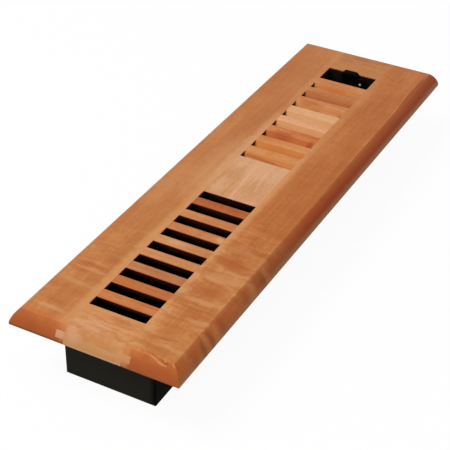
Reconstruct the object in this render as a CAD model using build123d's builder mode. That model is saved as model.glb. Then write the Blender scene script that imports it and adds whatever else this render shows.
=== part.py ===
from build123d import *
from math import radians, sin, tan
import os

# Drop-in wooden floor register: a glued-up louvered plate over a moulded damper box.
# Millimetres. X runs across the register, Y along it with the thumb lever at the +Y end, Z up.
# The origin is the middle of the plate's underside, the plane that lies on the floor.

# Plate
plate_length = 330.2
plate_width = 95.25
plate_thickness = 9.1
edge_lip = 1.2
bevel_width = 4.9
bevel_crown = 0.7
bevel_round = 1.0

# Louvers, widths measured along Y at the top face
slot_length = 32.2
slot_gap = 6.52
slat_width = 6.89
louver_angle = 52.0
slat_edge_ease = 0.3
center_block_length = 42.35
lever_opening_length = 15.5

# Tongue and groove joints between the stiles and everything that crosses them
tongue_length = 4.7
tongue_thickness = 3.45
tongue_height = 2.65
glue_gap = 0.05

# Damper box, with the plate reaching past it at both ends
end_overhang = 14.3
box_width = 52.0
box_height = 32.2
box_wall = 1.8
box_corner = 0.6
rim_height = 0.8
rim_clearance = 0.1
ledge_thickness = 2.0
near_ledge_length = 6.9
far_ledge_least = 8.0
far_ledge_setback = 1.7
bridge_length = 16.0

# Screws that hold the box to the end blocks
screw_spread = 24.0
screw_radius = 1.3
screw_bite = 5.5
screw_clearance = 0.05
screw_hole_radius = 1.6
screw_head_radius = 2.5
screw_head_height = 1.8
screw_head_bevel = 0.8

# Damper blades, turning about lengthwise axes
blade_thickness = 1.6
blade_edge_round = 0.5
blade_gap = 0.35
blade_swing = 90.0
swing_room = 1.7
hub_radius = 2.3
pivot_radius = 2.0
pivot_clearance = 0.05
pivot_length = 3.6
pivot_end_room = 0.4
boss_radius = 4.2
boss_length = 3.0
end_play = 0.5

# Cranks on the blades and the link that joins them
crank_radius = 9.0
crank_width = 5.6
crank_thickness = 2.2
crank_pin_radius = 1.5
crank_pin_clearance = 0.05
open_pin_clearance = 0.1
snap_head_radius = 1.9
snap_head_length = 0.8
side_play = 0.3
notch_room = 0.6
link_thickness = 1.5
link_height = 6.0
link_round = 1.0

# Thumb lever, riveted to the link's upright ear
lever_thickness = 1.5
lever_tail = 2.0
lever_shoulder = 7.4
lever_round = 1.2
lever_end_room = 0.6
lever_back_room = 0.5
ear_width = 12.5
tab_width = 10.7
tab_offset = -0.8
tab_rise = 1.7
pad_height = 3.2
pad_depth = 3.6
pad_round = 2.2
pad_edge_ease = 0.6
rivet_radius = 1.0
rivet_head_radius = 1.25
rivet_head_height = 0.7
rivet_head_taper = 30.0
rivet_clearance = 0.05
rivet_edge = 2.3
rivet_drop = 3.0
lower_rivet_shift = 7.6
lower_rivet_height = 0.0

# Places along the register: as many louvers as the damper box has room for, from its near ledge on
box_length = plate_length - 2 * end_overhang
inner_width = box_width - 2 * box_wall
inner_length = box_length - 2 * box_wall
drift = plate_thickness / tan(radians(louver_angle))
pitch = slot_gap + slat_width
near_end = -inner_length / 2 + near_ledge_length
fixed_length = slot_gap + center_block_length + lever_opening_length + far_ledge_setback
slat_count = int((inner_length - near_ledge_length - far_ledge_least - fixed_length) / pitch)
far_slat_count = slat_count // 2
near_slat_count = slat_count - far_slat_count
center_start = near_end + near_slat_count * pitch + slot_gap
center_end = center_start + center_block_length
opening_start = center_end + far_slat_count * pitch
opening_end = opening_start + lever_opening_length
tongue_reach = slot_length / 2 + tongue_length

# Places in the damper box
axis_x = inner_width / 4
blade_half = axis_x - blade_gap
pivot_z = -(ledge_thickness + screw_head_height + swing_room + blade_half)
blade_end = inner_length / 2 - boss_length - end_play
far_ledge_start = opening_end + far_ledge_setback
bridge_y = (center_start + center_end) / 2
screw_rows = ((near_end - inner_length / 2) / 2, (far_ledge_start + inner_length / 2) / 2)
screw_points = [(side * screw_spread / 2, y) for y in screw_rows for side in (-1, 1)]

# Places in the linkage, from the lever's back towards the near end
rest_tilt = blade_swing / 2
lever_travel = crank_radius * sin(radians(rest_tilt))
link_back = opening_end - lever_back_room
link_front = link_back - link_thickness
lever_front = link_front - lever_thickness
crank_back = link_front - side_play
crank_front = crank_back - crank_thickness
snap_front = link_back + side_play
snap_back = snap_front + snap_head_length
link_z = pivot_z + crank_radius
shoulder_x = slot_length / 2 - lever_travel - lever_end_room
lever_top = plate_thickness + tab_rise
rivet_points = [
    (shoulder_x - rivet_edge, lever_shoulder - rivet_drop),
    (shoulder_x - rivet_edge - lower_rivet_shift, lower_rivet_height),
]

os.makedirs("parts", exist_ok=True)


def keep(piece, name):
    # Labels a finished piece and writes its file.
    piece.part.label = name
    export_step(piece.part, f"parts/{name}.step")


def cross_plane(y, x=0.0, z=0.0):
    # A plane across the register: local x is X, local y is Z, and extruding goes towards -Y.
    return Plane(origin=(x, y, z), x_dir=(1, 0, 0), z_dir=(0, -1, 0))


# The plate's outer form: one section with crowned bevels run along each direction, so the bevels mitre,
# and a shallow groove underneath that takes the damper box's rim
with BuildPart() as plate_blank:
    for plane, width, run, mode in (
        (Plane.XZ, plate_width, plate_length, Mode.ADD),
        (Plane.YZ, plate_length, plate_width, Mode.INTERSECT),
    ):
        with BuildSketch(plane):
            shoulder = width / 2 - bevel_width
            with BuildLine():
                Polyline((-width / 2, edge_lip), (-width / 2, 0), (width / 2, 0), (width / 2, edge_lip))
                SagittaArc((width / 2, edge_lip), (shoulder, plate_thickness), -bevel_crown)
                Line((shoulder, plate_thickness), (-shoulder, plate_thickness))
                SagittaArc((-shoulder, plate_thickness), (-width / 2, edge_lip), -bevel_crown)
            make_face()
        extrude(amount=run / 2, both=True, mode=mode)
    fillet(plate_blank.faces().sort_by(Axis.Z)[-1].edges(), bevel_round)
    with BuildSketch():
        RectangleRounded(
            box_width + 2 * rim_clearance,
            box_length + 2 * rim_clearance,
            box_corner + rim_clearance,
        )
        Rectangle(inner_width - 2 * rim_clearance, inner_length - 2 * rim_clearance, mode=Mode.SUBTRACT)
    extrude(amount=rim_height + rim_clearance, mode=Mode.SUBTRACT)


def make_stile(side):
    # A long side rail of the plate, with a through groove along its inner edge.
    stile_width = (plate_width - slot_length) / 2
    with BuildPart() as stile:
        with Locations((side * (slot_length + stile_width) / 2, 0, plate_thickness / 2)):
            Box(stile_width, plate_length, plate_thickness)
        add(plate_blank.part, mode=Mode.INTERSECT)
        with Locations((side * slot_length / 2, 0, tongue_height + tongue_thickness / 2)):
            Box(2 * tongue_length, plate_length, tongue_thickness, mode=Mode.SUBTRACT)
    return stile


def make_crosspiece(top_near, top_far, bottom_near, bottom_far):
    # A block or slat between the stiles: its section along Y, and a tongue at each end.
    low = tongue_height + glue_gap
    high = tongue_height + tongue_thickness - glue_gap

    def at_height(z, bottom, top):
        return bottom + (top - bottom) * z / plate_thickness

    sections = (
        (0, plate_thickness, slot_length / 2),
        (low, high, tongue_reach - glue_gap),
    )
    with BuildPart() as crosspiece:
        for z_low, z_high, reach in sections:
            with BuildSketch(Plane.YZ):
                with BuildLine():
                    Polyline(
                        (at_height(z_low, bottom_near, top_near), z_low),
                        (at_height(z_low, bottom_far, top_far), z_low),
                        (at_height(z_high, bottom_far, top_far), z_high),
                        (at_height(z_high, bottom_near, top_near), z_high),
                        close=True,
                    )
                make_face()
            extrude(amount=reach, both=True)
    return crosspiece


def make_block(top_near, top_far, bottom_near, bottom_far):
    # A fixed block of the plate, trimmed to the bevelled outline and drilled where screws enter it.
    crosspiece = make_crosspiece(top_near, top_far, bottom_near, bottom_far)
    with BuildPart() as block:
        add(crosspiece.part)
        add(plate_blank.part, mode=Mode.INTERSECT)
        for x, y in screw_points:
            if bottom_near < y < bottom_far:
                with Locations(Plane((x, y, 0), z_dir=(0, 0, -1))):
                    Hole(screw_radius + screw_clearance, depth=screw_bite + screw_clearance)
    return block


def make_slat(near_edge, lean):
    # A louver slat with eased top edges; lean +1 slopes its foot towards +Y.
    foot = near_edge + lean * drift
    crosspiece = make_crosspiece(near_edge, near_edge + slat_width, foot, foot + slat_width)
    with BuildPart() as slat:
        add(crosspiece.part)
        chamfer(slat.edges().filter_by(Axis.X).group_by(Axis.Z)[-1], slat_edge_ease)
    return slat


def make_blade(side):
    # A lengthwise damper blade, half open, with its hub, end pivots, crank and crank pin.
    x = side * axis_x
    notch_near = crank_front - notch_room
    notch_far = snap_back + notch_room
    with BuildPart() as blade:
        with BuildSketch(cross_plane(blade_end, x, pivot_z)) as wing:
            Rectangle(2 * blade_half, blade_thickness, rotation=-rest_tilt)
            fillet(wing.vertices(), blade_edge_round)
        extrude(amount=2 * blade_end)
        with BuildSketch(cross_plane(notch_far, x, pivot_z)):
            Rectangle(
                2 * blade_half,
                2 * blade_thickness,
                rotation=-rest_tilt,
                align=(Align.MAX, Align.CENTER),
            )
        extrude(amount=notch_far - notch_near, mode=Mode.SUBTRACT)
        with BuildSketch(cross_plane(blade_end, x, pivot_z)):
            Circle(hub_radius)
        extrude(amount=2 * blade_end)
        pivot_end = blade_end + end_play + pivot_length
        with BuildSketch(cross_plane(pivot_end, x, pivot_z)):
            Circle(pivot_radius)
        extrude(amount=2 * pivot_end)
        with BuildSketch(cross_plane(crank_back, x, pivot_z)):
            with Locations((0, crank_radius / 2)):
                SlotCenterToCenter(crank_radius, crank_width, rotation=90)
        extrude(amount=crank_thickness)
        for back, radius in ((snap_front, crank_pin_radius), (snap_back, snap_head_radius)):
            front = crank_back if radius == crank_pin_radius else snap_front
            with BuildSketch(cross_plane(back, x, link_z)):
                Circle(radius)
            extrude(amount=back - front)
    return blade


# Wooden plate
left_stile = make_stile(-1)
keep(left_stile, "left_stile")
right_stile = make_stile(1)
keep(right_stile, "right_stile")

near_end_block = make_block(-plate_length / 2, near_end, -plate_length / 2, near_end + drift)
keep(near_end_block, "near_end_block")
center_block = make_block(center_start, center_end, center_start + drift, center_end - drift)
keep(center_block, "center_block")
far_end_block = make_block(opening_end, plate_length / 2, opening_end, plate_length / 2)
keep(far_end_block, "far_end_block")

for number in range(near_slat_count):
    near_slat = make_slat(near_end + slot_gap + number * pitch, 1)
    keep(near_slat, f"near_slat_{number + 1}")
for number in range(far_slat_count):
    far_slat = make_slat(center_end + slot_gap + number * pitch, -1)
    keep(far_slat, f"far_slat_{number + 1}")

# Damper box: four walls, screw ledges at both ends, a bridge under the center block, pivot bosses
with BuildPart() as damper_box:
    with BuildSketch(Plane.XY.offset(-box_height)):
        RectangleRounded(box_width, box_length, box_corner)
        Rectangle(inner_width, inner_length, mode=Mode.SUBTRACT)
    extrude(amount=box_height + rim_height)
    shelf_half = inner_length / 2 + box_wall / 2
    shelves = (
        (-shelf_half, near_end),
        (bridge_y - bridge_length / 2, bridge_y + bridge_length / 2),
        (far_ledge_start, shelf_half),
    )
    with BuildSketch():
        for shelf_near, shelf_far in shelves:
            with Locations((0, (shelf_near + shelf_far) / 2)):
                Rectangle(inner_width + box_wall, shelf_far - shelf_near)
        with Locations(*screw_points):
            Circle(screw_hole_radius, mode=Mode.SUBTRACT)
    extrude(amount=-ledge_thickness)
    boss_face = inner_length / 2 - boss_length
    for boss_back in (shelf_half, -boss_face):
        with BuildSketch(cross_plane(boss_back, 0, pivot_z)):
            with Locations((-axis_x, 0), (axis_x, 0)):
                Circle(boss_radius)
        extrude(amount=boss_length + box_wall / 2)
    socket = pivot_length + pivot_end_room
    for socket_back in (boss_face + socket, -boss_face):
        with BuildSketch(cross_plane(socket_back, 0, pivot_z)):
            with Locations((-axis_x, 0), (axis_x, 0)):
                Circle(pivot_radius + pivot_clearance)
        extrude(amount=socket, mode=Mode.SUBTRACT)
keep(damper_box, "damper_box")

# Four pan-head wood screws, driven up from below
with BuildPart() as screw:
    with BuildSketch(Plane.XZ) as screw_half:
        with BuildLine():
            Polyline(
                (0, -ledge_thickness - screw_head_height),
                (screw_head_radius, -ledge_thickness - screw_head_height),
                (screw_head_radius, -ledge_thickness),
                (screw_radius, -ledge_thickness),
                (screw_radius, screw_bite),
                (0, screw_bite),
                close=True,
            )
        make_face()
        head_rim = screw_half.vertices().group_by(Axis.Y)[0].sort_by(Axis.X)[-1]
        chamfer(head_rim, screw_head_bevel)
    revolve(axis=Axis.Z)
with BuildPart() as box_screws:
    with Locations(*screw_points):
        add(screw.part)
keep(box_screws, "box_screws")

# Damper blades and their linkage
left_blade = make_blade(-1)
keep(left_blade, "left_blade")
right_blade = make_blade(1)
keep(right_blade, "right_blade")

with BuildPart() as control_link:
    with BuildSketch(cross_plane(link_back)) as link_outline:
        with Locations((0, link_z)):
            SlotCenterToCenter(2 * axis_x, link_height)
        with Locations((shoulder_x, link_z)):
            Rectangle(ear_width, lever_shoulder - link_z, align=(Align.MAX, Align.MIN))
        fillet(link_outline.vertices().group_by(Axis.Y)[-1], link_round)
        with Locations((-axis_x, link_z)):
            Circle(crank_pin_radius + crank_pin_clearance, mode=Mode.SUBTRACT)
        with Locations((axis_x, link_z)):
            Circle(crank_pin_radius + open_pin_clearance, mode=Mode.SUBTRACT)
        with Locations(*rivet_points):
            Circle(rivet_radius + rivet_clearance, mode=Mode.SUBTRACT)
    extrude(amount=link_thickness)
keep(control_link, "control_link")

with BuildPart() as thumb_pad:
    with BuildSketch(cross_plane(link_back)) as pad_outline:
        with Locations((tab_offset, lever_top)):
            Rectangle(tab_width, pad_height, align=(Align.CENTER, Align.MAX))
        fillet(pad_outline.vertices().group_by(Axis.Y)[-1], pad_round)
    extrude(amount=pad_depth)
    chamfer(thumb_pad.faces().sort_by(Axis.Y)[0].edges(), pad_edge_ease)
with BuildPart() as thumb_lever:
    with BuildSketch(cross_plane(link_front)) as lever_outline:
        with Locations((tab_offset, -lever_tail)):
            Rectangle(
                tab_width,
                lever_top - pad_height / 2 + lever_tail,
                align=(Align.CENTER, Align.MIN),
            )
        with Locations((shoulder_x, -lever_tail)):
            Rectangle(
                shoulder_x - tab_offset,
                lever_shoulder + lever_tail,
                align=(Align.MAX, Align.MIN),
            )
        fillet(lever_outline.vertices().group_by(Axis.X)[-1], lever_round)
        with Locations(*rivet_points):
            Circle(rivet_radius + rivet_clearance, mode=Mode.SUBTRACT)
    extrude(amount=lever_thickness)
    add(thumb_pad.part)
keep(thumb_lever, "thumb_lever")

# Two domed steel rivets, heads towards the near end, tails flush with the link's back
with BuildPart() as lever_rivets:
    for rivet_x, rivet_z in rivet_points:
        with BuildSketch(cross_plane(link_back, rivet_x, rivet_z)):
            Circle(rivet_radius)
        extrude(amount=link_back - lever_front)
        with BuildSketch(cross_plane(lever_front, rivet_x, rivet_z)):
            Circle(rivet_head_radius)
        extrude(amount=rivet_head_height, taper=rivet_head_taper)
keep(lever_rivets, "lever_rivets")
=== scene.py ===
import math
import bpy
from mathutils import Matrix, Vector


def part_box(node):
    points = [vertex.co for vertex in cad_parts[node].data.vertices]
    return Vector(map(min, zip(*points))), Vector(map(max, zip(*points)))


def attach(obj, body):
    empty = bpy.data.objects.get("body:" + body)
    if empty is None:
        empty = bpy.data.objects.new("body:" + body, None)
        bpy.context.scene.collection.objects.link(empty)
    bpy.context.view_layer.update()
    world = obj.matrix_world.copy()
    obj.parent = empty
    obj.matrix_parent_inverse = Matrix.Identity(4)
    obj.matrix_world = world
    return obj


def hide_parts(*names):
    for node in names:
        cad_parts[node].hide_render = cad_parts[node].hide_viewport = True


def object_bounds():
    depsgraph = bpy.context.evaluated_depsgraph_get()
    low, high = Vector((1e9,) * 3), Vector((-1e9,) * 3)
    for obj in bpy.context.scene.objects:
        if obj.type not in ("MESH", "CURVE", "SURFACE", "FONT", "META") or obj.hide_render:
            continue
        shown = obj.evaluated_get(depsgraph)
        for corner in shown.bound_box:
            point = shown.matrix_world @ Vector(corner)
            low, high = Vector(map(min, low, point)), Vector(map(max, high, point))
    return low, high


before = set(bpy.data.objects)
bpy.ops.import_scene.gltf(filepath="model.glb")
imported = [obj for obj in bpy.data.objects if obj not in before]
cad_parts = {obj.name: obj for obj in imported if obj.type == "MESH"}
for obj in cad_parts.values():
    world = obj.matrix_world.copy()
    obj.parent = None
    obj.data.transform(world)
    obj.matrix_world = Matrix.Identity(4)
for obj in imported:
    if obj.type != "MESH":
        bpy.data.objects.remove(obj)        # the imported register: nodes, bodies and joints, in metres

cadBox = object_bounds()
millimetre = 0.001
print("frame loaded:", len(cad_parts), "nodes")


# one output socket of a shader tree; arithmetic on wires adds Math nodes
class Wire:
    def __init__(self, tree, socket=None):
        self.tree = tree
        self.socket = socket

    def node(self, kind, settings={}, inputs={}, output=0):
        made = self.tree.nodes.new("ShaderNode" + kind)
        for name, value in settings.items():
            if name == "stops":
                self.setStops(made.color_ramp, value)
            else:
                setattr(made, name, value)
        for name, value in inputs.items():
            if isinstance(value, Wire):
                self.tree.links.new(value.socket, made.inputs[name])
            else:
                made.inputs[name].default_value = value
        return Wire(self.tree, made.outputs[output] if made.outputs else None)

    def setStops(self, ramp, stops):
        while len(ramp.elements) < len(stops):
            ramp.elements.new(1.0)
        for element, (position, color) in zip(ramp.elements, stops):
            element.position = position
            element.color = color

    def beside(self, output):        # another output of the same node
        return Wire(self.tree, self.socket.node.outputs[output])

    def math(self, operation, *values):
        return self.node("Math", {"operation": operation}, dict(enumerate(values)))

    def __add__(self, other):
        return self.math("ADD", self, other)

    def __radd__(self, other):
        return self.math("ADD", other, self)

    def __sub__(self, other):
        return self.math("SUBTRACT", self, other)

    def __rsub__(self, other):
        return self.math("SUBTRACT", other, self)

    def __mul__(self, other):
        return self.math("MULTIPLY", self, other)

    def __rmul__(self, other):
        return self.math("MULTIPLY", other, self)

    def __truediv__(self, other):
        return self.math("DIVIDE", self, other)

    def __rtruediv__(self, other):
        return self.math("DIVIDE", other, self)

    def __abs__(self):
        return self.math("ABSOLUTE", self)


# small shader helpers, all made of Wire.node
def tint(red, green, blue):        # display colour 0-255 to the linear colour a socket takes
    def linear(level):
        level = level / 255
        return level / 12.92 if level <= 0.04045 else ((level + 0.055) / 1.055) ** 2.4
    return (linear(red), linear(green), linear(blue), 1.0)


def newMaterial(name):
    material = bpy.data.materials.new(name)
    material.use_nodes = True
    material.node_tree.nodes.clear()
    return material, Wire(material.node_tree)


def closeMaterial(wire, principled):
    shader = wire.node("BsdfPrincipled", {}, principled)
    wire.node("OutputMaterial", {}, {"Surface": shader})


def blendColor(wire, factor, first, second):
    settings = {"data_type": "RGBA", "clamp_factor": True}
    return wire.node("Mix", settings, {0: factor, 6: first, 7: second}, 2)


def ease(wire, value, low, high):        # 0 at low, 1 at high, smooth between; low may be the larger
    ends = {"Value": value, "From Min": low, "From Max": high}
    return wire.node("MapRange", {"interpolation_type": "SMOOTHSTEP"}, ends)


def fade(wire, value, low, high):        # 1 at low, 0 at high
    return 1 - ease(wire, value, low, high)


def spread(wire, value, low=0.3, high=0.7):        # noise mostly lies between low and high
    return wire.node("MapRange", {}, {"Value": value, "From Min": low, "From Max": high})


def cloud(wire, x, y, z, detail=2.0, roughness=0.5, distortion=0.0):
    spot = wire.node("CombineXYZ", {}, {"X": x, "Y": y, "Z": z})
    inputs = {"Vector": spot, "Scale": 1.0, "Detail": detail, "Roughness": roughness}
    inputs["Distortion"] = distortion
    return wire.node("TexNoise", {}, inputs)


def speckle(wire, place, size, detail, roughness=0.5):        # cloud of the same size all ways
    x, y, z = (part / size for part in place)
    return cloud(wire, x, y, z, detail, roughness)


def relief(wire, height, strength, depth):        # depth in millimetres
    inputs = {"Strength": strength, "Distance": depth * millimetre, "Height": height}
    return wire.node("Bump", {}, inputs)


def millimetres(wire):
    place = wire.node("TexCoord", output="Object")
    scaled = wire.node("VectorMath", {"operation": "SCALE"}, {0: place, "Scale": 1 / millimetre})
    x = wire.node("SeparateXYZ", {}, {0: scaled})
    return x, x.beside("Y"), x.beside("Z")


def facing(wire):
    normal = wire.node("TexCoord", output="Normal")
    x = wire.node("SeparateXYZ", {}, {0: normal})
    return x, x.beside("Y"), x.beside("Z")


fullShare = {"patch": 0.3, "stroke": 0.35}        # part of a mark's reach that has its whole strength


def distance(wire, u, v):
    return wire.math("SQRT", u * u + v * v)


def patch(wire, x, y, middle, reach):        # soft oval: 1 in the middle, 0 past its reach
    u = (x - middle[0]) / reach[0]
    v = (y - middle[1]) / reach[1]
    return fade(wire, distance(wire, u, v), fullShare["patch"], 1.0)


def stroke(wire, x, y, start, end, half):        # soft line from start to end
    run, rise = end[0] - start[0], end[1] - start[1]
    share = ((x - start[0]) * run + (y - start[1]) * rise) / (run * run + rise * rise)
    share = wire.node("Clamp", {}, {"Value": share})
    u = x - start[0] - share * run
    v = y - start[1] - share * rise
    return fade(wire, distance(wire, u, v), half * fullShare["stroke"], half)


# lacquered maple; tones are display colours, lengths are millimetres
maple = {
    "figure": {        # width, length, detail, roughness, distortion
        "bands": (8.0, 150.0, 2.0, 0.5, 0.35),
        "streaks": (1.5, 42.0, 3.0, 0.55, 0.2),
        "pores": (0.34, 9.0, 1.0, 0.5, 0.0),
        "curl": (15.0, 4.6, 2.0, 0.5, 0.6),
        "blotches": (17.0, 34.0, 2.0, 0.5, 0.0),
        "flecks": (1.5, 2.6, 2.0, 0.5, 0.0),
    },
    "seedStep": (61.0, 23.0),        # along and across the grain, so that no two boards are alike
    "poreFrom": (0.56, 0.72), "poreDarkness": 0.16, "poreTone": (120, 62, 30),
    "wobble": 7.0, "bend": (9.0, 2.8), "bendSeed": 9.0,        # how the marks wander off their ovals
    "washSpread": 20,
    "roughness": 0.43, "bandRoughness": 0.1, "cutRoughness": 0.06, "specular": 0.09,
    "bump": 0.12, "bumpDepth": 0.2, "streakHeight": 0.4, "poreDepth": 0.6,
    "topFacing": (0.78, 0.97), "endFacing": (0.35, 0.65),
    "lipHeight": (0.9, 1.5), "lipFrom": (164.3, 164.9),
    "tones": {
        "sand": (208, 150, 101), "sienna": (174, 96, 50), "red": (170, 82, 42), "amber": (204, 116, 54),
        "blush": (221, 170, 132), "umber": (156, 90, 54), "scuff": (218, 150, 104), "gouge": (134, 66, 32),
        "bark": (148, 78, 40), "glow": (232, 146, 86), "tan": (190, 132, 84),
    },
}
# black sprayed from below: inside of the openings, as far as the box reaches; on the faces turned down it is
# also painted shade
blackSprayAndShade = {
    "color": (24, 15, 13), "roughness": 0.75, "halfWidth": (23.0, 24.5), "halfLength": (147.5, 149.5),
    "edge": (8.1, 8.95), "facing": (0.15, 0.45), "ragged": 0.5, "speckle": 1.6,
}


def blackSprayAndShadeMask(wire, place, upward, look):
    x, y, z = place
    ragged = (speckle(wire, place, blackSprayAndShade["speckle"], detail=2.0) - 0.5) * blackSprayAndShade["ragged"]
    # faces turned down inside the openings: black spray and painted shade
    undersideSprayAndShade = fade(wire, upward, *blackSprayAndShade["facing"])
    below = fade(wire, z + ragged, *blackSprayAndShade["edge"])
    within = fade(wire, abs(x), *blackSprayAndShade["halfWidth"]) * fade(wire, abs(y), *blackSprayAndShade["halfLength"])
    if "groove" in look:        # painted shade inside the grooves, whatever it faces
        grooveShadeMask = fade(wire, z, *look["groove"])
        return wire.math("MAXIMUM", undersideSprayAndShade * below, grooveShadeMask) * within
    return undersideSprayAndShade * below * within


def boardFigure(wire, along, across, z, look):        # the grain's noises, each from 0 to 1
    shiftedAlong = along + look["seed"] * maple["seedStep"][0]
    shiftedAcross = across + look["seed"] * maple["seedStep"][1]
    figure = {}
    for name, (width, length, *texture) in maple["figure"].items():
        noise = cloud(wire, shiftedAcross / width, shiftedAlong / length, z / width, *texture)
        figure[name] = ease(wire, noise, *maple["poreFrom"]) if name == "pores" else spread(wire, noise)
    return figure


def growthLines(wire, x, y, look):        # thin wavy lines along x
    rings = look["rings"]
    sway = cloud(wire, x / rings["sway"], y / rings["sway"], look["seed"], detail=2.0) - 0.5
    wave = wire.math("SINE", (y + sway * rings["swing"]) * (2 * math.pi / rings["spacing"]))
    return ease(wire, wave, *rings["crest"]) * rings["depth"] * fade(wire, y, *rings["fades"])


def boardLevel(wire, figure, x, y, look):        # 0 is the deep tone, 1 the pale one
    level = 0.5
    for name in ("bands", "streaks", "blotches", "flecks"):
        level = level + (figure[name] - 0.5) * look[name]
    curl = (figure["curl"] - 0.5) * look["curl"]
    if "curlFades" in look:
        curl = curl * (1 - ease(wire, y, *look["curlFades"]) * look["curlLost"])
    level = level + curl
    if "rings" in look:
        level = level - growthLines(wire, x, y, look)
    if "paleEdge" in look:        # sapwood beside the slots
        start, end, lost = look["paleFades"]
        lift = fade(wire, abs(x), *look["paleEdge"]) * look["paleLift"]
        level = level + lift * (1 - ease(wire, y, start, end) * lost)
    if "lengthShift" in look:        # slow change from one end to the other
        start, end, change = look["lengthShift"]
        level = level + ease(wire, y, start, end) * change
    return level


def addWashes(wire, color, level, x, y, look):        # slow stains along the length
    for tone, strength, start, end, spared in look.get("washes", []):
        share = ease(wire, y, start, end) * strength
        if spared:        # weaker on the sapwood
            share = share * (1 - fade(wire, abs(x), *look["paleEdge"]) * spared)
        stain = [tint(*(channel + side * maple["washSpread"] for channel in tone)) for side in (-1, 1)]
        color = blendColor(wire, share, color, blendColor(wire, level, *stain))
    return color


def edgeColor(wire, figure, place, endways, look):        # bevels, ends and sloped faces
    x, y, z = place
    streaks = figure["streaks"]
    pattern = streaks + (figure["curl"] - streaks) * look.get("edgeCurl", 0.0)
    color = blendColor(wire, pattern, tint(*look["edge"]), tint(*look["edgePale"]))
    for tone, strength, start, end, low, high in look.get("edgeWashes", []):
        share = ease(wire, y, start, end) * ease(wire, z, low, high) * strength
        color = blendColor(wire, share, color, tint(*tone))
    if "endGrain" in look:
        endTone = blendColor(wire, figure["blotches"], tint(*look["endGrain"]), tint(*look["endPale"]))
        tone, strength, start, end = look["endSap"]        # the pale edge shows on the end too
        endTone = blendColor(wire, fade(wire, abs(x), start, end) * strength, endTone, tint(*tone))
        color = blendColor(wire, ease(wire, abs(endways), *maple["endFacing"]), color, endTone)
    return color


def addEdgeDetails(wire, color, place, upward, look):
    x, y, z = place
    if "shoulder" in look:        # painted shade: the shaded bevel's dark tone reaches onto the top
        shoulder = look["shoulder"]
        reach = x
        for start, end, creep in shoulder["creep"]:
            reach = reach + ease(wire, y, start, end) * creep
        share = ease(wire, reach, *shoulder["from"]) * ease(wire, upward, *shoulder["facing"])
        share = share * fade(wire, y, *shoulder["ends"])
        color = blendColor(wire, share, color, tint(*shoulder["tone"]))
    if "tongue" in look:        # ends of the tongues, seen in the stiles' grooves
        start, end, *tones = look["tongue"]
        for side, tone in zip((-1 * x, x), tones):
            color = blendColor(wire, ease(wire, side, start, end), color, tint(*tone))
    if "lip" in look:        # thin line at the foot of the near edge: painted shade on the stiles, paler on the near block
        tone, strength = look["lip"]
        foot = fade(wire, z, *maple["lipHeight"]) * ease(wire, -1 * y, *maple["lipFrom"])
        color = blendColor(wire, foot * strength, color, tint(*tone))
    return color


def addMarks(wire, color, x, y, look):        # figure and wear of one board
    def wander(seed):
        return cloud(wire, x / maple["wobble"], y / maple["wobble"], seed, detail=1.0) - 0.5

    bentX = x + wander(look["seed"]) * maple["bend"][0]
    bentY = y + wander(look["seed"] + maple["bendSeed"]) * maple["bend"][1]
    for tone, strength, middle, reach in look.get("marks", []):
        share = patch(wire, bentX, bentY, middle, reach) * strength
        color = blendColor(wire, share, color, tint(*maple["tones"][tone]))
    for tone, strength, start, end, half in look.get("scuffs", []):
        share = stroke(wire, x, y, start, end, half) * strength
        color = blendColor(wire, share, color, tint(*maple["tones"][tone]))
    return color


def woodMaterial(name, look):
    material, wire = newMaterial(name)
    place = millimetres(wire)
    x, y, z = place
    endways, upward = facing(wire)[1:]
    along, across = (y, x) if look["grain"] == "y" else (x, y)
    figure = boardFigure(wire, along, across, z, look)
    level = boardLevel(wire, figure, x, y, look)
    color = wire.node("ValToRGB", {"stops": [
        (0.0, tint(*look["deep"])), (0.5, tint(*look["mid"])), (1.0, tint(*look["pale"])),
    ]}, {"Fac": level})
    color = addWashes(wire, color, level, x, y, look)
    cut = fade(wire, upward, *look.get("topFacing", maple["topFacing"]))
    edge = edgeColor(wire, figure, place, endways, look)
    color = blendColor(wire, cut * look["edgeShare"], color, edge)
    color = addEdgeDetails(wire, color, place, upward, look)
    color = addMarks(wire, color, x, y, look)
    color = blendColor(wire, figure["pores"] * maple["poreDarkness"], color, tint(*maple["poreTone"]))
    # black spray and painted shade inside the openings
    sprayAndShade = blackSprayAndShadeMask(wire, place, upward, look)
    color = blendColor(wire, sprayAndShade, color, tint(*look.get("sprayAndShadeTone", blackSprayAndShade["color"])))
    roughness = maple["roughness"] + (figure["bands"] - 0.5) * maple["bandRoughness"]
    roughness = roughness + cut * maple["cutRoughness"]
    roughness = roughness + sprayAndShade * (blackSprayAndShade["roughness"] - maple["roughness"])
    height = figure["streaks"] * maple["streakHeight"] - figure["pores"] * maple["poreDepth"]
    closeMaterial(wire, {
        "Base Color": color, "Roughness": roughness, "Specular IOR Level": maple["specular"],
        "Normal": relief(wire, height, maple["bump"], maple["bumpDepth"]),
    })
    return material


def dress(node, material):
    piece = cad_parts[node]
    piece.data.materials.clear()
    piece.data.materials.append(material)


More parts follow.
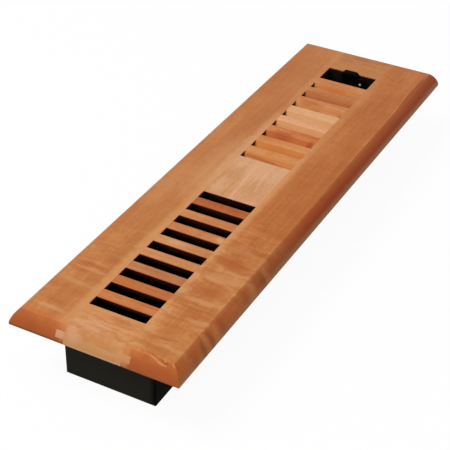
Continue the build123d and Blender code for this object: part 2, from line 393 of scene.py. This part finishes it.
# the two long stiles, curly near the near end, paler beside the slots
# washes: tone, strength, start and end in y, how much the sapwood is spared
# edge washes: tone, strength, start and end in y, low and high in z
# marks: tone, strength, middle, reach; scuffs: tone, strength, start, end, half width
wholeLength = (-200.0, -190.0)        # start and end of a wash that is complete before the near end
wholeHeight = (-2.0, -1.0)        # low and high of one that is complete below the plate
stileBoard = {
    "grain": "y", "bands": 0.35, "curlLost": 0.8, "paleEdge": (17.0, 22.5), "paleLift": 0.55,
    "endGrain": (172, 86, 41), "endPale": (184, 97, 50), "edgeShare": 1.0, "topFacing": (0.40, 0.92),
    # painted shade in the grooves below this height
    "groove": (7.0, 7.6),
}
stiles = {
    "left_stile": {
        "seed": 1.0, "streaks": 0.18, "blotches": 0.3, "flecks": 0.16,
        "curl": 0.45, "curlFades": (-112.0, -60.0), "paleFades": (30.0, 100.0, 0.6),
        "lengthShift": (-60.0, 150.0, -0.12),
        "deep": (173, 99, 51), "mid": (187, 118, 66), "pale": (203, 142, 90),
        "edge": (186, 100, 53), "edgePale": (196, 112, 62), "endSap": ((205, 138, 88), 0.35, 17.0, 20.0),
        "washes": [((188, 100, 46), 0.6, -157.0, -160.6, 0)],
        # painted shade at the foot of the near edge
        "lip": ((134, 80, 54), 0.7),
        "marks": [
            ("amber", 0.40, (-33.0, -159.0), (12.0, 3.0)),
            ("sand", 0.60, (-30.0, -153.3), (16.0, 1.9)),
            ("sienna", 0.40, (-32.0, -147.0), (10.0, 3.4)),
            ("sienna", 0.25, (-30.0, -138.0), (13.0, 3.8)),
            ("sand", 0.45, (-33.0, -130.4), (14.0, 2.6)),
            ("sand", 0.55, (-29.0, -118.6), (14.0, 1.9)),
            ("sienna", 0.45, (-31.0, -115.2), (13.0, 1.0)),
            ("sand", 0.35, (-31.0, -112.6), (13.0, 1.5)),
            ("sienna", 0.40, (-33.0, -110.4), (10.0, 0.9)),
            ("sand", 0.48, (-23.0, 2.0), (13.0, 50.0)),
            ("blush", 0.30, (-18.0, 20.0), (4.5, 60.0)),
            ("sand", 0.35, (-37.0, -30.0), (8.0, 40.0)),
            ("amber", 0.20, (-18.5, -152.0), (4.0, 7.0)),
        ],
    },
    "right_stile": {
        "seed": 2.0, "streaks": 0.2, "blotches": 0.35, "flecks": 0.2,
        "curl": 0.75, "curlFades": (-75.0, -20.0), "paleFades": (5.0, 55.0, 0.85),
        "deep": (177, 103, 54), "mid": (190, 121, 68), "pale": (207, 147, 94),
        "edge": (184, 96, 50), "edgePale": (194, 108, 59), "endSap": ((205, 138, 88), 0.8, 18.5, 20.5),
        "edgeCurl": 0.6,
        "washes": [((188, 101, 34), 0.7, -157.0, -160.6, 0), ((178, 97, 42), 0.6, -95.0, -40.0, 0.75)],
        "edgeWashes": [
            ((222, 122, 60), 0.85, -85.0, -115.0, *wholeHeight),
            ((186, 74, 27), 0.85, -60.0, -20.0, 1.0, 5.0),
            ((200, 144, 102), 0.7, *wholeLength, 4.6, 1.4),
            ((216, 82, 34), 0.4, *wholeLength, 5.5, 7.5),
            ((164, 68, 28), 0.5, 95.0, 130.0, 5.0, 7.5),
        ],
        # painted shade at the foot of the near edge
        "lip": ((188, 100, 64), 0.6),
        "shoulder": {        # painted shade of the bevel carried onto the top; creep: start and end in y, how far it widens
            "tone": (155, 77, 39), "from": (42.25, 43.05), "facing": (0.85, 0.95), "ends": (144.0, 160.0),
            "creep": [(-10.0, 30.0, 0.45), (100.0, 130.0, 1.15)],
        },
        "marks": [
            ("sand", 0.40, (33.0, -152.2), (12.0, 1.4)),
            ("sand", 0.30, (33.0, -148.6), (11.0, 1.0)),
            ("sand", 0.55, (38.0, -129.0), (9.0, 2.4)),
            ("sienna", 0.60, (31.0, -121.0), (15.0, 1.8)),
            ("sand", 0.62, (31.0, -114.5), (14.0, 3.0)),
            ("sienna", 0.60, (29.0, -106.5), (13.0, 4.8)),
            ("sand", 0.52, (30.0, -93.5), (14.0, 5.4)),
            ("sand", 0.55, (37.0, -86.8), (10.0, 1.2)),
            ("red", 0.50, (29.0, -80.6), (12.0, 5.2)),
            ("sand", 0.22, (28.0, -68.0), (13.0, 4.4)),
            ("bark", 0.25, (46.6, -148.0), (4.2, 4.0)),
            ("bark", 0.45, (46.6, -140.0), (4.2, 3.6)),
            ("glow", 0.55, (46.6, -136.0), (4.2, 2.6)),
            ("bark", 0.45, (46.6, -132.2), (4.2, 2.8)),
            ("glow", 0.75, (46.6, -127.2), (4.2, 3.6)),
            ("bark", 0.25, (46.6, -121.0), (4.2, 3.4)),
            ("glow", 0.20, (46.6, -104.0), (4.2, 9.0)),
            ("glow", 0.70, (46.6, -90.0), (4.2, 6.0)),
            ("bark", 0.30, (46.6, -79.0), (4.2, 4.0)),
            ("glow", 0.40, (46.6, -73.8), (4.2, 3.2)),
        ],
        # pale streaks along the rounded break near the corner: wear and a painted highlight
        "scuffs": [
            ("gouge", 0.55, (30.1, -159.55), (36.0, -160.55), 0.45),
            ("gouge", 0.45, (36.0, -160.55), (39.5, -161.2), 0.45),
            ("scuff", 0.50, (29.9, -160.4), (32.2, -160.8), 0.32),
            ("scuff", 0.60, (32.2, -160.8), (34.4, -161.45), 0.36),
            ("scuff", 0.80, (34.4, -161.45), (36.8, -161.85), 0.42),
            ("scuff", 0.65, (36.8, -161.85), (39.0, -161.95), 0.32),
            ("scuff", 0.60, (37.7, -160.6), (38.1, -160.6), 0.45),
            ("scuff", 0.60, (41.8, -160.6), (43.2, -161.3), 0.38),
        ],
    },
}
for node, look in stiles.items():
    dress(node, woodMaterial(node + "_maple", {**stileBoard, **look}))
print("stiles dressed")

# the three fixed blocks; tongue: where it starts in x, then its left and right tones
blocks = {
    "near_end_block": {
        "grain": "x", "seed": 3.0, "bands": 0.45, "streaks": 0.3, "blotches": 0.45, "flecks": 0.3,
        "curl": 0.15,
        "rings": {
            "spacing": 4.4, "sway": 8.0, "swing": 11.0, "crest": (-0.3, 1.0), "depth": 0.3,
            "fades": (-150.0, -143.0),
        },
        "deep": (193, 120, 63), "mid": (204, 140, 88), "pale": (210, 151, 101),
        "edge": (201, 141, 89), "edgePale": (211, 153, 99), "edgeShare": 0.85, "topFacing": (0.40, 0.92),
        "tongue": (16.1, 16.4, (215, 160, 118), (206, 146, 94)), "lip": ((228, 182, 142), 0.7),
        "washes": [((213, 156, 110), 0.3, -148.0, -155.0, 0)],
        "edgeWashes": [((208, 134, 72), 0.5, *wholeLength, 5.5, 8.0)],
        "marks": [
            ("blush", 0.45, (-12.5, -162.5), (6.0, 4.0)),
            ("blush", 0.50, (-5.5, -155.5), (13.0, 5.0)),
            ("sienna", 0.20, (10.0, -147.5), (8.0, 4.0)),
            ("sienna", 0.40, (4.0, -146.5), (9.0, 2.5)),
            ("sienna", 0.25, (-3.0, -155.0), (9.0, 1.6)),
        ],
    },
    "center_block": {
        "grain": "y", "seed": 4.0, "bands": 0.5, "streaks": 0.7, "blotches": 0.4, "flecks": 0.35,
        "curl": 0.15, "lengthShift": (-12.0, 8.0, 0.35),
        "deep": (194, 135, 86), "mid": (205, 147, 102), "pale": (214, 163, 122),
        # paler underside tone: painted light in the deep shade under the block
        "edge": (200, 139, 88), "edgePale": (212, 155, 108), "edgeShare": 0.6, "sprayAndShadeTone": (86, 56, 50),
        "marks": [
            ("blush", 0.50, (-12.0, -18.0), (5.0, 13.0)),
            ("tan", 0.50, (4.5, -14.0), (5.5, 12.0)),
            ("tan", 0.35, (-9.5, -3.0), (4.0, 11.0)),
            ("blush", 0.40, (10.5, -26.5), (6.0, 3.0)),
        ],
        "scuffs": [
            ("blush", 0.60, (-0.6, -27.0), (-2.6, 8.0), 1.1),
            ("blush", 0.50, (8.6, -15.0), (5.8, 6.0), 0.9),
        ],
    },
    "far_end_block": {
        "grain": "x", "seed": 5.0, "bands": 0.5, "streaks": 0.4, "blotches": 0.4, "flecks": 0.4,
        "curl": 0.2,
        "deep": (176, 111, 60), "mid": (186, 121, 69), "pale": (196, 138, 88),
        "edge": (188, 118, 70), "edgePale": (198, 130, 80), "edgeShare": 0.8, "topFacing": (0.40, 0.92),
        "tongue": (16.1, 16.4, (200, 140, 92), (200, 140, 92)),
        "marks": [
            ("umber", 0.40, (-3.0, 156.5), (8.0, 3.6)),
            ("sienna", 0.35, (12.0, 158.0), (6.0, 4.0)),
            ("umber", 0.30, (-11.0, 152.0), (7.0, 4.0)),
        ],
    },
}
for node, look in blocks.items():
    dress(node, woodMaterial(node + "_maple", look))
print("blocks dressed")

# louver slats, each cut from another board; a stain has deep, mid and pale tones and the sloped face's two
slats = {
    "stains": {
        "apricot": ((194, 108, 54), (206, 122, 69), (213, 142, 88), (196, 108, 54), (208, 124, 68)),
        "chestnut": ((178, 100, 52), (190, 114, 62), (202, 134, 82), (170, 94, 48), (184, 108, 58)),
        "hazel": ((176, 104, 58), (189, 119, 72), (202, 138, 90), (164, 90, 48), (176, 102, 56)),
        "honey": ((192, 120, 66), (204, 138, 85), (214, 154, 102), (188, 112, 58), (200, 126, 70)),
        "tan": ((184, 110, 62), (198, 127, 78), (210, 146, 97), (182, 110, 60), (196, 128, 76)),
        "russet": ((168, 84, 42), (181, 101, 55), (196, 122, 73), (166, 82, 40), (182, 100, 54)),
        "amber": ((194, 120, 68), (207, 136, 84), (215, 152, 102), (190, 110, 54), (202, 124, 64)),
        "copper": ((182, 98, 52), (198, 119, 69), (210, 138, 88), (174, 86, 40), (190, 102, 52)),
        "blush": ((206, 146, 100), (219, 162, 118), (226, 174, 133), (194, 130, 80), (208, 146, 96)),
        "cream": ((208, 150, 108), (219, 164, 122), (227, 176, 136), (200, 142, 96), (214, 158, 112)),
    },
    "near": ["apricot", "chestnut", "hazel", "honey", "honey", "tan", "tan", "russet"],
    "far": ["honey", "amber", "copper", "blush", "cream", "tan", "hazel", "tan"],
    "board": {
        "grain": "x", "bands": 0.55, "streaks": 0.6, "blotches": 0.6, "curl": 0.2, "flecks": 0.3,
        "edgeShare": 1.0,
    },
    "firstSeed": {"near": 6.0, "far": 20.0},
    "topLift": {"near": (0, 0, 0), "far": (0, -3, -6)},
    "slopeLift": {"near": (0, 0, 0), "far": (18, 12, 4)},
    "sprayAndShadeTone": {"near": (86, 56, 50), "far": blackSprayAndShade["color"]},        # paler under the near slats: painted light in their deep shade
    "toneShift": {
        "near_slat_1": (-13, -12, -9), "near_slat_3": (-9, -5, -1), "near_slat_4": (-6, -6, -2),
        "near_slat_5": (-6, -6, -2), "near_slat_8": (-6, -5, -6),
        "far_slat_1": (3, 3, 2), "far_slat_4": (6, 6, 9), "far_slat_6": (5, 5, 5),
    },
    "marks": {
        "far_slat_2": [("amber", 0.50, (-2.0, 32.0), (11.0, 4.0))],
        "far_slat_3": [
            ("red", 0.85, (12.0, 45.5), (4.0, 3.5)),
            ("red", 0.70, (-5.0, 47.0), (10.0, 4.0)),
        ],
        "far_slat_6": [
            ("umber", 0.65, (14.5, 84.5), (3.0, 2.4)),
            ("umber", 0.55, (-2.0, 84.0), (5.0, 3.0)),
            ("sand", 0.70, (-1.5, 83.6), (2.4, 1.4)),
            ("sienna", 0.50, (-7.0, 88.5), (9.0, 3.0)),
        ],
        "far_slat_7": [("umber", 0.35, (-2.0, 98.0), (15.0, 3.0))],
        "far_slat_8": [("amber", 0.90, (-2.0, 112.0), (11.0, 4.6))],
        "near_slat_1": [("sienna", 0.45, (-6.0, -131.0), (5.0, 1.6))],
        "near_slat_3": [("sienna", 0.25, (3.0, -105.0), (8.0, 2.0))],
        "near_slat_5": [("blush", 0.35, (-4.0, -78.5), (9.0, 2.5))],
        "near_slat_6": [("blush", 0.60, (14.0, -65.0), (4.0, 3.0))],
    },
    "scuffs": {
        "far_slat_1": [
            ("sienna", 0.60, (-14.0, 19.3), (3.0, 18.6), 0.8),
            ("sienna", 0.50, (3.0, 18.6), (15.5, 17.0), 0.7),
            ("sienna", 0.50, (-12.0, 17.0), (10.0, 16.2), 0.7),
        ],
        "far_slat_4": [
            ("sand", 0.25, (-15.0, 62.8), (15.0, 62.4), 0.5),
            ("sand", 0.20, (-12.0, 65.6), (15.0, 65.2), 0.5),
        ],
        "far_slat_6": [
            ("red", 0.30, (-14.0, 91.0), (-4.0, 90.0), 2.0),
            ("sand", 0.50, (3.0, 90.2), (14.0, 89.6), 2.2),
        ],
    },
}


def lifted(tones, change):
    return [tuple(map(sum, zip(tone, change))) for tone in tones]


for group in ("near", "far"):
    for number, stain in enumerate(slats[group], 1):
        node = f"{group}_slat_{number}"
        tones = lifted(slats["stains"][stain], slats["toneShift"].get(node, (0, 0, 0)))
        deep, mid, pale = lifted(tones[:3], slats["topLift"][group])
        edge, edgePale = lifted(tones[3:], slats["slopeLift"][group])
        look = dict(
            slats["board"], seed=number + slats["firstSeed"][group], deep=deep, mid=mid, pale=pale,
            edge=edge, edgePale=edgePale, sprayAndShadeTone=slats["sprayAndShadeTone"][group],
            marks=slats["marks"].get(node, []), scuffs=slats["scuffs"].get(node, []),
        )
        dress(node, woodMaterial(node + "_maple", look))
print("slats dressed")

# satin black mouldings
plastic = {
    "hazeSize": (24.0, 60.0, 24.0), "hazeRoughness": 0.12, "grainRoughness": 0.6,
    "bump": 0.15, "bumpDepth": 0.1, "paintedShadeFacing": (0.2, 0.8),
}
mouldings = {
    "damper_box": {
        "color": (48, 46, 40), "haze": (56, 54, 47), "roughness": 0.6, "specular": 0.01, "grain": 1.1,
        # painted shade on the box's side away from the lamp
        "paintedShadeSide": (7, 7, 8), "paintedShadeFrom": (21.5, 26.5),
    },
    "left_blade": {
        "color": (10, 9, 9), "haze": (13, 12, 12), "roughness": 0.65, "specular": 0.03, "grain": 1.1,
    },
    "control_link": {
        "color": (8, 8, 8), "haze": (11, 11, 11), "roughness": 0.6, "specular": 0.05, "grain": 0.8,
    },
    "thumb_lever": {
        "color": (5, 5, 4), "haze": (7, 7, 5), "roughness": 0.7, "specular": 0.02, "grain": 0.8,
    },
}
mouldings["right_blade"] = mouldings["left_blade"]


def plasticMaterial(name, look):
    material, wire = newMaterial(name)
    place = millimetres(wire)
    grain = speckle(wire, place, look["grain"], detail=2.0, roughness=plastic["grainRoughness"])
    x, y, z = (part / size for part, size in zip(place, plastic["hazeSize"]))
    haze = spread(wire, cloud(wire, x, y, z, detail=3.0))
    color = blendColor(wire, haze, tint(*look["color"]), tint(*look["haze"]))
    if "paintedShadeSide" in look:        # painted shade on the side away from the lamp
        turned = ease(wire, facing(wire)[0], *plastic["paintedShadeFacing"])
        share = wire.math("MAXIMUM", turned, ease(wire, place[0], *look["paintedShadeFrom"]))
        color = blendColor(wire, share, color, tint(*look["paintedShadeSide"]))
    closeMaterial(wire, {
        "Base Color": color, "Roughness": look["roughness"] + (haze - 0.5) * plastic["hazeRoughness"],
        "Specular IOR Level": look["specular"],
        "Normal": relief(wire, grain, plastic["bump"], plastic["bumpDepth"]),
    })
    return material


for node, look in mouldings.items():
    dress(node, plasticMaterial(node + "_plastic", look))
print("mouldings dressed")

# plated steel of the rivets and screws; the rivets are painted, worn bright on their crowns, where the
# near-white patch is also a painted highlight
steel = {
    "color": (206, 206, 203), "dull": (180, 179, 174), "roughness": 0.4, "dullRoughness": 0.14, "patch": 1.2,
    "paint": (9, 9, 9), "paintSpecular": 0.03, "crown": (252, 252, 252), "crownMetal": 0.3,
    "wearAndHighlightReach": 1.02, "wearAndHighlightLift": 0.03, "sharpAngle": 35,
}


def steelMaterial(name, look):
    material, wire = newMaterial(name)
    patches = spread(wire, speckle(wire, millimetres(wire), look["patch"], detail=3.0))
    color = blendColor(wire, patches, tint(*look["dull"]), tint(*look["color"]))
    roughness = look["roughness"] + (1 - patches) * look["dullRoughness"]
    closeMaterial(wire, {"Base Color": color, "Metallic": 1.0, "Roughness": roughness})
    return material


plated = steelMaterial("plated_steel", steel)
dress("lever_rivets", plated)
dress("box_screws", plated)


def rivetMaterial(name, look, crowns):        # crowns: centres of the heads in x and z
    material, wire = newMaterial(name)
    x, z = millimetres(wire)[::2]
    wearAndHighlight = 0.0
    for across, height in crowns:
        wearAndHighlight = wearAndHighlight + patch(wire, x, z, (across, height + look["wearAndHighlightLift"]), (look["wearAndHighlightReach"],) * 2)
    # near-white crown: wear and a painted highlight
    color = blendColor(wire, wearAndHighlight, tint(*look["paint"]), tint(*look["crown"]))
    closeMaterial(wire, {
        "Base Color": color, "Metallic": wearAndHighlight * look["crownMetal"], "Roughness": look["roughness"],
        "Specular IOR Level": look["paintSpecular"],
    })
    return material


# turned forms: rows of points round an axis, with one point as the row at each end
def ring(radius, height, steps):        # radius and height are numbers or functions of the angle
    points = []
    for step in range(steps):
        angle = 2 * math.pi * step / steps
        r = radius(angle) if callable(radius) else radius
        h = height(angle) if callable(height) else height
        points.append(Vector((r * math.cos(angle), r * math.sin(angle), h)))
    return points


def skin(rows, placing, vertices, faces):
    starts = []
    for row in rows:
        starts.append(len(vertices))
        vertices.extend(placing @ point for point in row)
    for first, second, start, following in zip(rows, rows[1:], starts, starts[1:]):
        steps = max(len(first), len(second))
        for step in range(steps):
            after = (step + 1) % steps
            corners = []
            for row, base in ((first, start), (second, following)):
                ends = (step, after) if row is first else (after, step)
                corners.extend(base + (k if len(row) > 1 else 0) for k in ends)
            faces.append(tuple(dict.fromkeys(corners)))


def steelPiece(name, vertices, faces, body, node, material):
    mesh = bpy.data.meshes.new(name)
    mesh.from_pydata(vertices, [], faces)
    mesh.validate()
    mesh.polygons.foreach_set("use_smooth", [True] * len(mesh.polygons))
    mesh.set_sharp_from_angle(angle=math.radians(steel["sharpAngle"]))
    mesh.materials.append(material)
    piece = bpy.data.objects.new(name, mesh)
    bpy.context.scene.collection.objects.link(piece)
    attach(piece, body)
    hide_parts(node)


# domed rivets of the lever, heads towards the near end
rivets = {
    "headRadius": 1.25, "headHeight": 0.7, "shankRadius": 1.0, "tailChamfer": 0.15,
    "steps": 40, "domeRows": 9,
}


def buildRivets():
    low, high = (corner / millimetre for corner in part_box("lever_rivets"))
    head, dome = rivets["headRadius"], rivets["headHeight"]
    length = high.y - low.y - dome
    rows = [[Vector((0.0, 0.0, dome))]]
    for row in range(1, rivets["domeRows"] + 1):
        turn = math.pi / 2 * row / rivets["domeRows"]
        rows.append(ring(head * math.sin(turn), dome * math.cos(turn), rivets["steps"]))
    shank, chamfer = rivets["shankRadius"], rivets["tailChamfer"]
    for radius, height in ((shank, 0.0), (shank, chamfer - length), (shank - chamfer, -length)):
        rows.append(ring(radius, height, rivets["steps"]))
    rows.append([Vector((0.0, 0.0, -length))])
    vertices, faces = [], []
    turned = Matrix.Rotation(math.radians(90), 4, "X")        # axis along -Y
    centres = [(high.x - head, high.z - head), (low.x + head, low.z + head)]
    for x, z in centres:
        seat = Matrix.Translation((x, low.y + dome, z)) @ turned
        skin(rows, Matrix.Scale(millimetre, 4) @ seat, vertices, faces)
    wearAndHighlight = rivetMaterial("worn_and_highlit_rivet", steel, centres)
    steelPiece("domed_rivets", vertices, faces, "lever_link", "lever_rivets", wearAndHighlight)


# pan-head screws with a cross recess, driven up through the box's ledges
screws = {
    "headRadius": 2.5, "headHeight": 1.8, "crownStart": 1.1, "crownDrop": 0.8, "headRings": 24,
    "recessDepth": 1.1, "recessTaper": 0.5, "armHalf": 0.33, "armLength": 1.5, "wallSlope": 0.14,
    "outerRadius": 1.3, "coreRadius": 0.92, "pitch": 1.1, "ridgeSlope": 2.4, "rowsPerTurn": 12,
    "tipLength": 1.8, "tipPower": 0.7, "steps": 48,
}


def crossRecess(x, y):
    along, across = max(abs(x), abs(y)), min(abs(x), abs(y))
    inArm = min(1.0, max(0.0, (screws["armHalf"] - across) / screws["wallSlope"]))
    inLength = min(1.0, max(0.0, (screws["armLength"] - along) / screws["wallSlope"]))
    taper = 1 - screws["recessTaper"] * along / screws["armLength"]
    return screws["recessDepth"] * inArm * inLength * taper


def headFace(radius):
    crown = max(0.0, radius - screws["crownStart"]) / (screws["headRadius"] - screws["crownStart"])
    outer = screws["headHeight"] - screws["crownDrop"] * crown ** 2
    return lambda angle: crossRecess(radius * math.cos(angle), radius * math.sin(angle)) - outer


def threadRadius(height, length):
    narrowing = min(1.0, (length - height) / screws["tipLength"]) ** screws["tipPower"]

    def radius(angle):
        place = (height / screws["pitch"] - angle / (2 * math.pi)) % 1.0
        ridge = max(0.0, 1 - abs(2 * place - 1) * screws["ridgeSlope"])
        return narrowing * (screws["coreRadius"] + (screws["outerRadius"] - screws["coreRadius"]) * ridge)

    return radius


def buildScrews():
    low, high = (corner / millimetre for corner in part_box("box_screws"))
    head, steps = screws["headRadius"], screws["steps"]
    length = high.z - low.z - screws["headHeight"]
    rows = [[Vector((0.0, 0.0, headFace(0.0)(0.0)))]]
    for number in range(1, screws["headRings"] + 1):
        radius = head * number / screws["headRings"]
        rows.append(ring(radius, headFace(radius), steps))
    rows.append(ring(head, 0.0, steps))
    count = int(length / screws["pitch"] * screws["rowsPerTurn"])
    for number in range(count):
        height = length * number / count
        rows.append(ring(threadRadius(height, length), height, steps))
    rows.append([Vector((0.0, 0.0, length))])
    vertices, faces = [], []
    for x in (low.x + head, high.x - head):
        for y in (low.y + head, high.y - head):
            seat = Matrix.Translation((x, y, low.z + screws["headHeight"]))
            skin(rows, Matrix.Scale(millimetre, 4) @ seat, vertices, faces)
    steelPiece("pan_head_screws", vertices, faces, "frame", "box_screws", plated)


buildRivets()
buildScrews()
print("rivets and screws built")

# the stage: white floor and backdrop, soft lamp from the near left
stage = {
    "floorSize": 12.0, "floorSeen": 0.93, "floorBounce": 0.5, "lift": 0.95, "liftMargin": 0.5,
    "ambient": 0.31,
    "lampFrom": (-0.34, -0.36, 0.87), "lampDistance": 2.2, "lampSize": 1.3, "lampWatts": 40.0,
}


def seenRay(wire):        # 1 for what the camera sees, straight, mirrored or through glass
    camera = wire.node("LightPath", output="Is Camera Ray")
    mirrored = wire.math("MAXIMUM", camera, camera.beside("Is Glossy Ray"))
    return wire.math("MAXIMUM", mirrored, camera.beside("Is Transmission Ray"))


def grey(level):
    return (level, level, level, 1.0)


def buildFloor():
    half = stage["floorSize"] / 2
    level = cadBox[0].z
    mesh = bpy.data.meshes.new("floor")
    corners = [(-half, -half, level), (half, -half, level), (half, half, level), (-half, half, level)]
    mesh.from_pydata(corners, [], [(0, 1, 2, 3)])
    floor = bpy.data.objects.new("floor", mesh)
    bpy.context.scene.collection.objects.link(floor)
    material, wire = newMaterial("floor_white")
    seen = seenRay(wire)
    x, y = millimetres(wire)[:2]
    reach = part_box("damper_box")[1] / millimetre        # the box is centred; under it the floor doesn't glow
    beyond = wire.math("MAXIMUM", abs(x) - reach.x, abs(y) - reach.y)
    outside = wire.math("GREATER_THAN", beyond, -stage["liftMargin"])
    white = blendColor(wire, seen, grey(stage["floorBounce"]), grey(stage["floorSeen"]))
    matte = wire.node("BsdfDiffuse", {}, {"Color": white})
    glow = wire.node("Emission", {}, {"Strength": 1.0})
    both = wire.node("MixShader", {}, {0: seen * outside * stage["lift"], 1: matte, 2: glow})
    wire.node("OutputMaterial", {}, {"Surface": both})
    mesh.materials.append(material)


def buildWorld():
    world = bpy.data.worlds.new("backdrop")
    bpy.context.scene.world = world
    world.use_nodes = True
    world.node_tree.nodes.clear()
    wire = Wire(world.node_tree)
    strength = stage["ambient"] + seenRay(wire) * (1 - stage["ambient"])
    light = wire.node("Background", {}, {"Color": grey(1.0), "Strength": strength})
    wire.node("OutputWorld", {}, {"Surface": light})


def buildLamp():
    data = bpy.data.lights.new("window", "AREA")
    data.shape = "DISK"
    data.size = stage["lampSize"]
    data.energy = stage["lampWatts"]
    lamp = bpy.data.objects.new("window", data)
    toLamp = Vector(stage["lampFrom"]).normalized()
    lamp.location = toLamp * stage["lampDistance"]
    lamp.rotation_mode = "QUATERNION"
    lamp.rotation_quaternion = toLamp.to_track_quat("Z", "Y")
    bpy.context.scene.collection.objects.link(lamp)


# camera at the photograph's place: turn, height and roll in degrees, lengths in metres
view = {
    "turn": 27.981, "height": 34.81, "roll": 0.856, "distance": 0.731355,
    "aside": -0.015867, "above": -0.020764, "focalPixels": 1301.05, "imagePixels": 450,
    "sensorWidth": 36.0,        # millimetres
}


def buildCamera():
    turn, height = math.radians(view["turn"]), math.radians(view["height"])
    back = Vector((math.sin(turn) * math.cos(height), -math.cos(turn) * math.cos(height), math.sin(height)))
    right = Vector((math.cos(turn), math.sin(turn), 0.0))
    up = back.cross(right)
    rolled = Matrix.Rotation(math.radians(view["roll"]), 3, back)
    right, up = rolled @ right, rolled @ up
    data = bpy.data.cameras.new("camera")
    data.sensor_width = view["sensorWidth"]
    data.lens = view["focalPixels"] / view["imagePixels"] * data.sensor_width
    camera = bpy.data.objects.new("camera", data)
    camera.rotation_mode = "QUATERNION"
    camera.rotation_quaternion = Matrix((right, up, back)).transposed().to_quaternion()
    camera.location = back * view["distance"] + right * view["aside"] + up * view["above"]
    bpy.context.scene.collection.objects.link(camera)
    bpy.context.scene.camera = camera


buildFloor()
buildWorld()
buildLamp()
buildCamera()
bpy.context.scene.view_settings.view_transform = "Standard"
print("stage, lamp and camera set")
